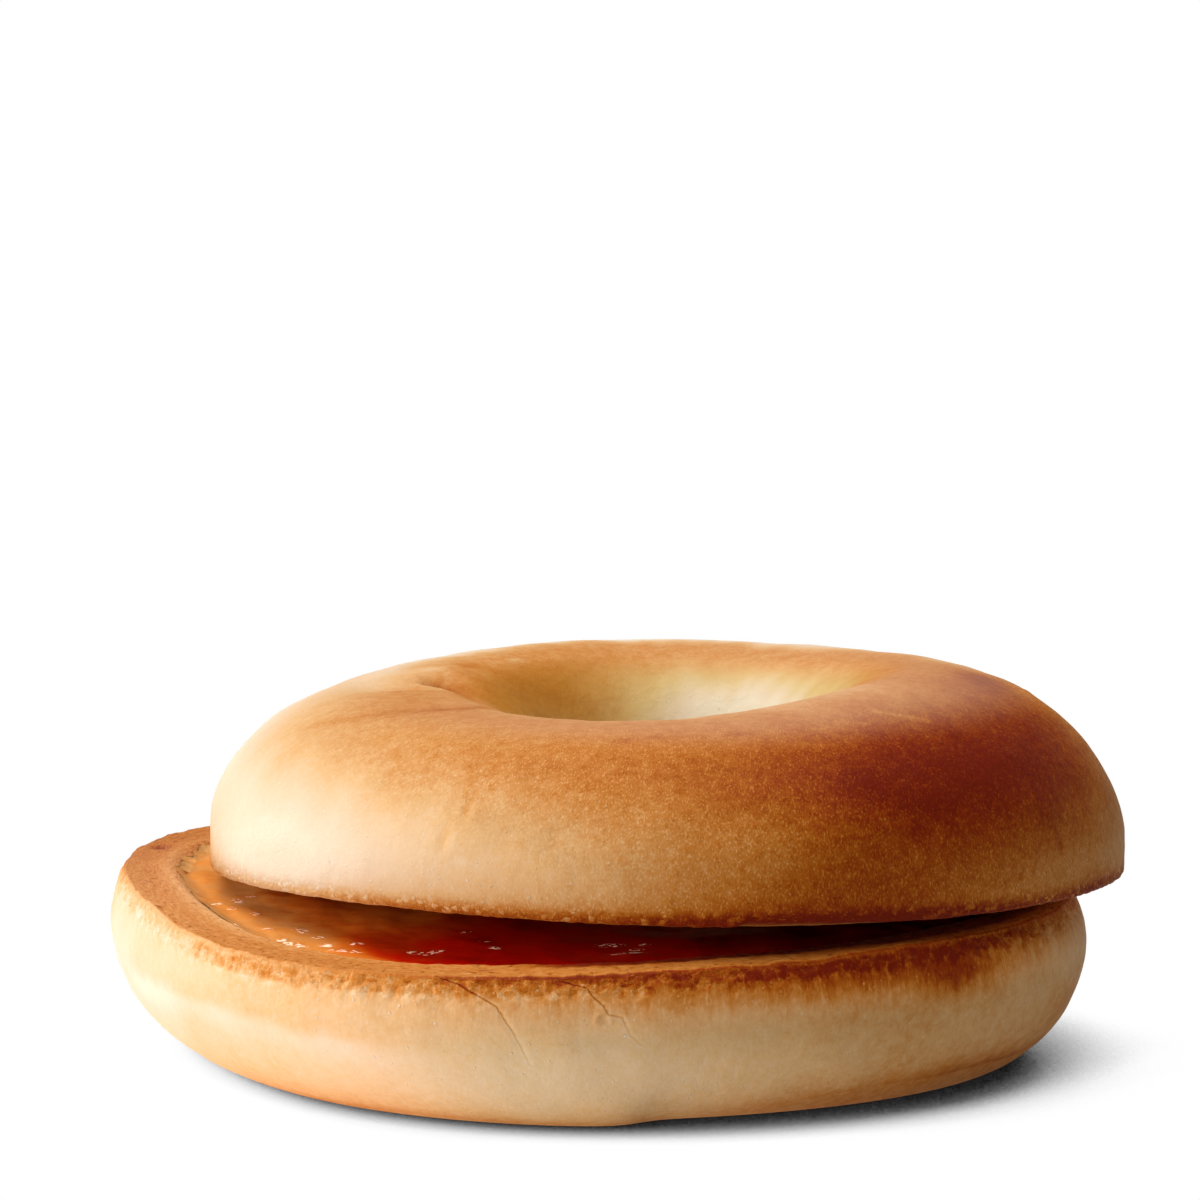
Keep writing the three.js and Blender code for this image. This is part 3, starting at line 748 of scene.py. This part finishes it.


# Marks on the upper skin; the one at bearing 190, v 40.2 is painted shade in the lap's crevice.
MARKS = (
    (242.5, 11.7, 0.55, 1.3, 0.14, 0.07), (243.5, 11.4, 0.6, 1.2, -0.04, -0.04), (240.2, 7.9, 0.65, 1.2, 0.14, 0.08),
    (241.6, 7.6, 0.6, 1.0, -0.05, -0.05), (161, 36.2, 2.4, 1.6, 0.0, -0.18), (190, 40.2, 6.0, 1.2, 0.12, 0.11), (281, 8.5, 5.5, 4.0, 0.0, -0.07), (344, 21.5, 12, 4.5, 0.0, 0.09), (135, 40.6, 13, 1.0, 0.0, -0.05), (243.0, 5.7, 0.9, 0.4, 0.05, -0.06), (327.5, 5.9, 0.55, 0.95, 0.22, 0.10),
    (1.5, 24.1, 1.4, 1.2, -0.30, 0.0), (296, 15.5, 3.0, 2.0, 0.0, 0.10), (305, 12.5, 4.0, 1.8, 0.0, 0.10),
    (301, 9.5, 1.5, 1.2, 0.0, 0.08), (153, 39.0, 2.6, 1.6, 0.0, 0.14), (137, 40.2, 2.2, 0.4, -0.06, -0.16),
    (262, 24.5, 1.6, 0.7, 0.06, 0.08), (268, 25.4, 3.0, 0.6, 0.0, 0.10), (281, 26.2, 2.2, 0.5, 0.10, 0.12),
    (228, 14.0, 0.9, 1.6, 0.10, 0.04), (255, 9.0, 0.7, 1.3, 0.10, 0.05), (318, 3.6, 0.8, 0.5, 0.12, 0.08),
)


def upper_half():
    deg = columns(590, lambda d: 1.25 + 1.35 * window(d, 178, 362, 24) + 0.5 * window(d, 165, 245, 10) + 1.6 * window(d, 163, 196, 6))
    r, z, zone, v = upper_grid(deg)
    a = (deg * RAD)[:, None]
    p = np.stack([r * np.cos(a), r * np.sin(a), z], 2)
    n = grid_normals(p)
    x, y = p[..., 0], p[..., 1]
    d = deg[:, None] + 0 * r
    face = (zone == 3)[None, :] & (r > 0)
    skin_ = ~face
    N = Noise(23)
    cu, cv = 50 * np.cos(a), 50 * np.sin(a)
    shift = np.zeros_like(r)
    shift += np.where(face, 0.15, 1) * smooth(z / 4) * (0.24 * (N(x / 14, y / 14, z / 12) - 0.3) + 0.10 * (N(x / 5 + 9, y / 5, z / 5) - 0.4))
    shift += skin_ * 0.018 * N(x / 1.3, y / 1.3, z / 1.3)
    shift += skin_ * window(v, 0.2, 5, 4) * 0.04 * N(cu / 0.9, cv / 0.9, v / 2.5 + 60)
    shift += face * (0.06 * N(x / 1.8, y / 1.8, 3) - 0.06)
    bake = np.where(face, 0.56 + 0.44 * smooth((-v - 2.0 + N(cu / 3, cv / 3, 4)) / 2.0), upper_bake(d, v, N, cu, cv))
    # the lap beside the hole, with painted shade in its valley and a painted highlight along its raised lip
    sd, along = segment_field(24 * d * RAD, v, [(24 * t * RAD, q) for t, q in LAP])
    fade = smooth((along - 0.14) / 0.2) * (1 - smooth((along - 0.72) / 0.28)) * (np.abs(turn(d, 178)) < 40) * (v > 26) * (v < 50)
    shift += fade * (0.28 * bump(np.minimum(sd + 0.8, 0), 2.6) * bump(np.maximum(sd + 0.8, 0), 0.5) - 1.35 * bump(sd - 0.40, 0.60) - 0.45 * bump(sd - 1.4, 1.6))
    bake = bake + fade * (0.16 * bump(sd - 0.25, 0.65) + 0.11 * bump(sd - 1.4, 1.1) * (1 - smooth((along - 0.45) / 0.3)) - 0.12 * bump(sd + 0.8, 0.5))
    # a sunken brown streak in front of it
    sd, along = segment_field(38 * d * RAD, v, [(38 * t * RAD, q) for t, q in STREAK])
    fade = smooth(along / 0.3) * (1 - smooth((along - 0.93) / 0.07)) * (np.abs(turn(d, 205)) < 40) * skin_
    shift -= fade * 0.09 * bump(sd, 1.3)
    bake = bake + fade * (0.08 + 0.07 * smooth((along - 0.55) / 0.2)) * bump(sd, 1.5)
    # dents, pits, one lump, a scratch and patches of tone: (bearing, v, half width round, half height, depth,
    # darkening, negative where lighter); at bearing 190, v 40.2 the darkening is painted shade in the lap's crevice
    for t0, v0, hu, hv, deep, tone in MARKS:
        e = np.sqrt((50 * turn(d, t0) * RAD / hu) ** 2 + ((v - v0) / hv) ** 2)
        shift -= deep * np.exp(-(e ** 2)) * skin_
        bake = bake + tone * np.exp(-(e ** 2)) * skin_
    sd, along = segment_field(38 * d * RAD, v, [(38 * t * RAD, q) for t, q in ((306, 27.9), (311, 26.2), (316, 24.0))])
    bake = bake - 0.16 * bump(sd, 0.30) * smooth(along / 0.1) * (1 - smooth((along - 0.9) / 0.1)) * (np.abs(turn(d, 311)) < 12)
    p2 = p + n * shift[..., None]
    # the cut edge: fine raggedness, and a place where its corner is worn away
    ragged = 0.07 * N(cu / 1.1, cv / 1.1, 2.5) + 0.06 * N(cu / 0.6, cv / 0.6, 7.5) + 0.05 * N(cu / 4, cv / 4, 7.5)
    p2[..., 2] += (ragged + 0.10) * bump(v, 0.7)
    worn = 0.55 * smooth((d - 277.0) / 1.6) * (1 - smooth((d - 282) / 22))
    p2[..., 2] += worn * bump(v, 0.9)
    p2 = place_upper(p2)
    attributes = {
        "place": np.stack([50.4 * d * RAD, v, d], 2),
        "cyl": np.stack([cu + 0 * r, cv + 0 * r, v], 2),
        "zone": np.where(face, 1.0, 0.0) + 0 * r,
        "pmm": p,
        # painted sheen: a pale pinkish haze over the crown
        "tint_and_painted_sheen": skin_ * (0.26 * smooth((v - 21) / 8) * (1 - smooth((v - 36) / 7)) * (0.55 + 0.45 * np.cos((d - 315) * RAD)) + 0 * r),
        "bake": bake,
    }
    return p2 - CENTRE, attributes


# ---- Spread ---------------------------------------------------------------------------
# Spots where highlights are painted on the spread's wet crests.
PAINTED_HIGHLIGHTS = (
    (192.3, 42.1, 1.0, 0.6), (191.2, 39.7, 1.3, 0.7), (188.2, 37.8, 0.8, 0.5), (202.5, 39.4, 0.9, 0.5), (197, 41.0, 0.7, 0.4),
    (223.6, 43.8, 1.6, 1.1), (220.5, 43.0, 0.9, 0.6), (217.2, 39.1, 1.4, 0.6), (222.8, 39.6, 0.8, 0.5), (213, 41.5, 0.8, 0.5),
    (231.3, 43.5, 0.9, 0.7), (234.4, 43.5, 1.2, 0.6), (231.5, 40.0, 0.9, 0.5), (228.0, 42.0, 0.7, 0.5), (209, 43.4, 0.7, 0.5),
    (242.9, 40.3, 1.0, 0.6), (244.5, 40.1, 0.8, 0.5), (245.6, 38.9, 0.7, 0.5), (242.6, 28.7, 0.5, 0.6), (250.7, 33.2, 0.5, 0.5),
    (254.1, 36.0, 0.6, 0.5), (274.0, 34.3, 1.5, 0.6), (275.9, 38.9, 1.8, 0.5), (277.9, 36.9, 1.0, 0.5), (280.0, 35.0, 0.6, 0.5),
)


def spread_film():
    deg = columns(460, lambda d: 1 + 1.2 * window(d, 170, 330, 24))
    a = (deg * RAD)[:, None]
    N = Noise(37)
    rim = about(LOWER_RIM_RADIUS, a)
    outer, inner = spread_outline(a), HOLE_RADIUS + SPREAD_HOLE_INSET
    # the upper side from the outer edge inwards, then the underside back out
    s = graded(0, 1, 0.008, 0.03)[None, :]
    edge = outer - (outer - inner) * s
    x, y = edge * np.cos(a), edge * np.sin(a)
    inwards = np.minimum(outer - edge, edge - inner)
    lumps = 0.55 + 0.26 * N(x / 7, y / 7, 1) + 0.07 * N(x / 2.4, y / 2.4, 5) + 0.02 * N(x / 0.9, y / 0.9, 9)
    thick = (SPREAD_GAP + SPREAD_THICKNESS) * smooth(inwards / 3.2 + 0.06) * np.clip(lumps, 0.12, 0.98)
    thick = np.where(inwards <= 1e-6, 0, thick)
    top = face_height(edge, a) - 0.30 * smooth((outer - edge - 0.7) / 1.3) + thick - 0.10 * (1 - smooth(inwards / 0.8))
    t = np.linspace(1, 0, 10)[None, 1:-1]
    eu = outer - (outer - inner) * t
    bottom = face_height(eu, a) - 0.62
    r = np.concatenate([edge, eu], 1)
    z = np.concatenate([top, bottom], 1)
    p = np.stack([r * np.cos(a), r * np.sin(a), z], 2)
    depth = np.concatenate([thick, 0 * eu], 1) / (SPREAD_GAP + SPREAD_THICKNESS)
    # places where it stands wettest, painted with highlights: (bearing, radius, half width round, half width in)
    highlight_spots = 0 * r
    for t0, r0, hu, hr in PAINTED_HIGHLIGHTS:
        highlight_spots += np.exp(-((turn(deg, t0)[:, None] * RAD * r0 / hu) ** 2) - (((r - r0) / hr) ** 2))
    highlight_spots = np.clip(highlight_spots, 0, 1)
    # a hole in the crumb that the film has sunk into
    e = np.sqrt(((deg[:, None] - 189.8) * RAD * 43.3 / 0.85) ** 2 + ((r - 43.3) / 0.5) ** 2)
    pit = 0.45 * np.exp(-(e ** 4))
    p[..., 2] -= np.concatenate([np.ones(edge.shape), np.zeros(eu.shape)], 1) * 0.45 * np.exp(-(e ** 4))
    # The spread darkens where it is thick and in the pit; the darkening towards the front, the right and inwards under
    # the top half is partly its own deeper colour and partly painted shade between the halves.
    front = np.maximum(smooth((deg[:, None] - 217) / 40), 1 - smooth((deg[:, None] - 90) / 50))
    right = np.maximum(smooth((deg[:, None] - 275) / 35), 1 - smooth((deg[:, None] - 50) / 50))
    attributes = {"place": np.stack([50 * a + 0 * r, r, deg[:, None] + 0 * r], 2), "pmm": p, "zone": 0 * r,
                  "cyl": np.stack([50 * np.cos(a) + 0 * r, 50 * np.sin(a) + 0 * r, r], 2),
                  "bake": 0.02 + 0.22 * depth + 0.34 * front + 0.20 * right + 0.16 * bump(turn(deg, 316)[:, None], 13) * smooth((40.5 - r) / 3)
                  + (0.22 + 0.06 * front) * smooth((rim - 12.0 + 5.6 * front - r) / (5.5 - 4 * front)) + pit, "highlight_spots": highlight_spots}
    return p - CENTRE, attributes


# ---- Pieces ---------------------------------------------------------------------------
points, attributes = lower_half()
lower = grid_mesh("lower_bagel", points, attributes, lower_material, lower_crumb)
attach(lower, "root"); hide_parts("bottom_half")
points, attributes = upper_half()
upper = grid_mesh("upper_bagel", points, attributes, upper_material, upper_crumb)
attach(upper, "root"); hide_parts("top_half")
points, attributes = spread_film()
film = grid_mesh("spread_film", points, attributes, spread_material)
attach(film, "root"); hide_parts("spread")

# ---- Floor and light ------------------------------------------------------------------
def floor_material(near):
    """Near white. What the camera sees of it is a white table with one soft, neutral shadow:
    how much of the sky each point sees, looking a little towards the light at the left."""
    s = Shader("table_near" if near else "table_far")
    seen = s.make("ShaderNodeLightPath", 0)
    grain = s.noise(s.make("ShaderNodeTexCoord", 3), (0.004, 0.004, 0.004), 2)
    base = s.blend(grain, (0.90, 0.90, 0.90, 1), (0.905, 0.903, 0.90, 1))
    # a dark card on the right keeps the table's bounce off the shaded side
    across = s.step(s.split(s.make("ShaderNodeNewGeometry", 0), 0), 0.04, 0.13, 1.0, 0.35)
    base = s.make("ShaderNodeVectorMath", operation="SCALE", sockets={0: base, "Scale": across})
    surface = s.make("ShaderNodeBsdfDiffuse", sockets={"Color": base})
    light = 1.0
    if near:
        tilt = s.make("ShaderNodeCombineXYZ", sockets={0: SHADOW_LEAN[0], 1: SHADOW_LEAN[1], 2: 1.0})
        open_sky = s.make("ShaderNodeAmbientOcclusion", 1, samples=16, sockets={"Distance": 0.16, "Normal": s.make(
            "ShaderNodeVectorMath", operation="NORMALIZE", sockets={0: tilt})})
        light = s.make("ShaderNodeMapRange", clamp=True, sockets={
            "Value": open_sky, "From Min": SHADOW_FROM, "From Max": SHADOW_TO, "To Min": 0.0, "To Max": 1.0})
    packshot = s.make("ShaderNodeEmission", sockets={"Color": (1, 1, 1, 1), "Strength": light})
    mixed = s.make("ShaderNodeMixShader", sockets={0: seen, 1: surface, 2: packshot})
    s.tree.links.new(mixed, s.tree.nodes.new("ShaderNodeOutputMaterial").inputs["Surface"])
    return s.material


SHADOW_LEAN, SHADOW_FROM, SHADOW_TO = (-0.75, 0.27), 0.17, 0.40
mesh = bpy.data.meshes.new("floor")
xs, ys = (-6, -0.11, 0.12, 6), (-3, -0.11, 0.12, 9)
mesh.from_pydata([(x, y, 0) for y in ys for x in xs], [], [
    (4 * j + i, 4 * j + i + 1, 4 * j + i + 5, 4 * j + i + 4) for j in range(3) for i in range(3)])
mesh.materials.append(floor_material(False))
mesh.materials.append(floor_material(True))
mesh.polygons[4].material_index = 1
floor = bpy.data.objects.new("floor", mesh)
bpy.context.scene.collection.objects.link(floor)

food = bpy.data.collections.new("lit_food")
for piece in (lower, upper, film):
    food.objects.link(piece)
filling = bpy.data.collections.new("lit_filling")
filling.objects.link(film)
table = bpy.data.collections.new("lit_table")
table.objects.link(floor)


def sun(name, bearing, elevation, share, angle, lit, casting=None):
    """A far soft light. bearing is where it comes from, share is its part of full exposure."""
    light = bpy.data.lights.new(name, "SUN")
    light.energy, light.angle = math.pi * share, angle * RAD
    ob = bpy.data.objects.new(name, light)
    bpy.context.scene.collection.objects.link(ob)
    b, e = bearing * RAD, elevation * RAD
    d = Vector((math.cos(b) * math.cos(e), math.sin(b) * math.cos(e), math.sin(e)))
    ob.rotation_mode = "QUATERNION"
    ob.rotation_quaternion = d.to_track_quat("Z", "Y")
    ob.location = d * 3
    ob.light_linking.receiver_collection = lit
    if casting:
        ob.light_linking.blocker_collection = casting


sun("key_left", 150, 60, 0.749, 40, food)
sun("fill_front", 230, 60, 0.302, 40, food)
sun("overhead", 0, 85, 0.22, 50, food)
sun("table_bounce", 195, -22, 0.74, 40, food, food)
sun("into_the_gap", 212, 14, 1.5, 30, filling)
sun("right_fill", 330, 14, 0.08, 50, food)
sun("table_left", 150, 65, 0.56, 90, table)
sun("table_overhead", 0, 89, 0.30, 120, table)

world = bpy.data.worlds.new("studio")
bpy.context.scene.world = world
world.use_nodes = True
tree = world.node_tree
tree.nodes.clear()
path = tree.nodes.new("ShaderNodeLightPath")
around = tree.nodes.new("ShaderNodeBackground")
around.inputs["Color"].default_value = (1.0, 0.97, 0.95, 1)
level = tree.nodes.new("ShaderNodeMath")
level.operation = "MULTIPLY_ADD"
tree.links.new(path.outputs["Is Glossy Ray"], level.inputs[0])
level.inputs[1].default_value = -0.01
level.inputs[2].default_value = 0.04
tree.links.new(level.outputs[0], around.inputs["Strength"])
backdrop = tree.nodes.new("ShaderNodeBackground")
backdrop.inputs["Color"].default_value = (1, 1, 1, 1)
backdrop.inputs["Strength"].default_value = 1.05
either = tree.nodes.new("ShaderNodeMixShader")
tree.links.new(path.outputs["Is Camera Ray"], either.inputs[0])
tree.links.new(around.outputs[0], either.inputs[1])
tree.links.new(backdrop.outputs[0], either.inputs[2])
tree.links.new(either.outputs[0], tree.nodes.new("ShaderNodeOutputWorld").inputs["Surface"])
bpy.context.scene.view_settings.view_transform = "Standard"
bpy.context.scene.view_settings.look = "None"
bpy.context.scene.view_settings.exposure = 0
bpy.context.scene.view_settings.gamma = 1
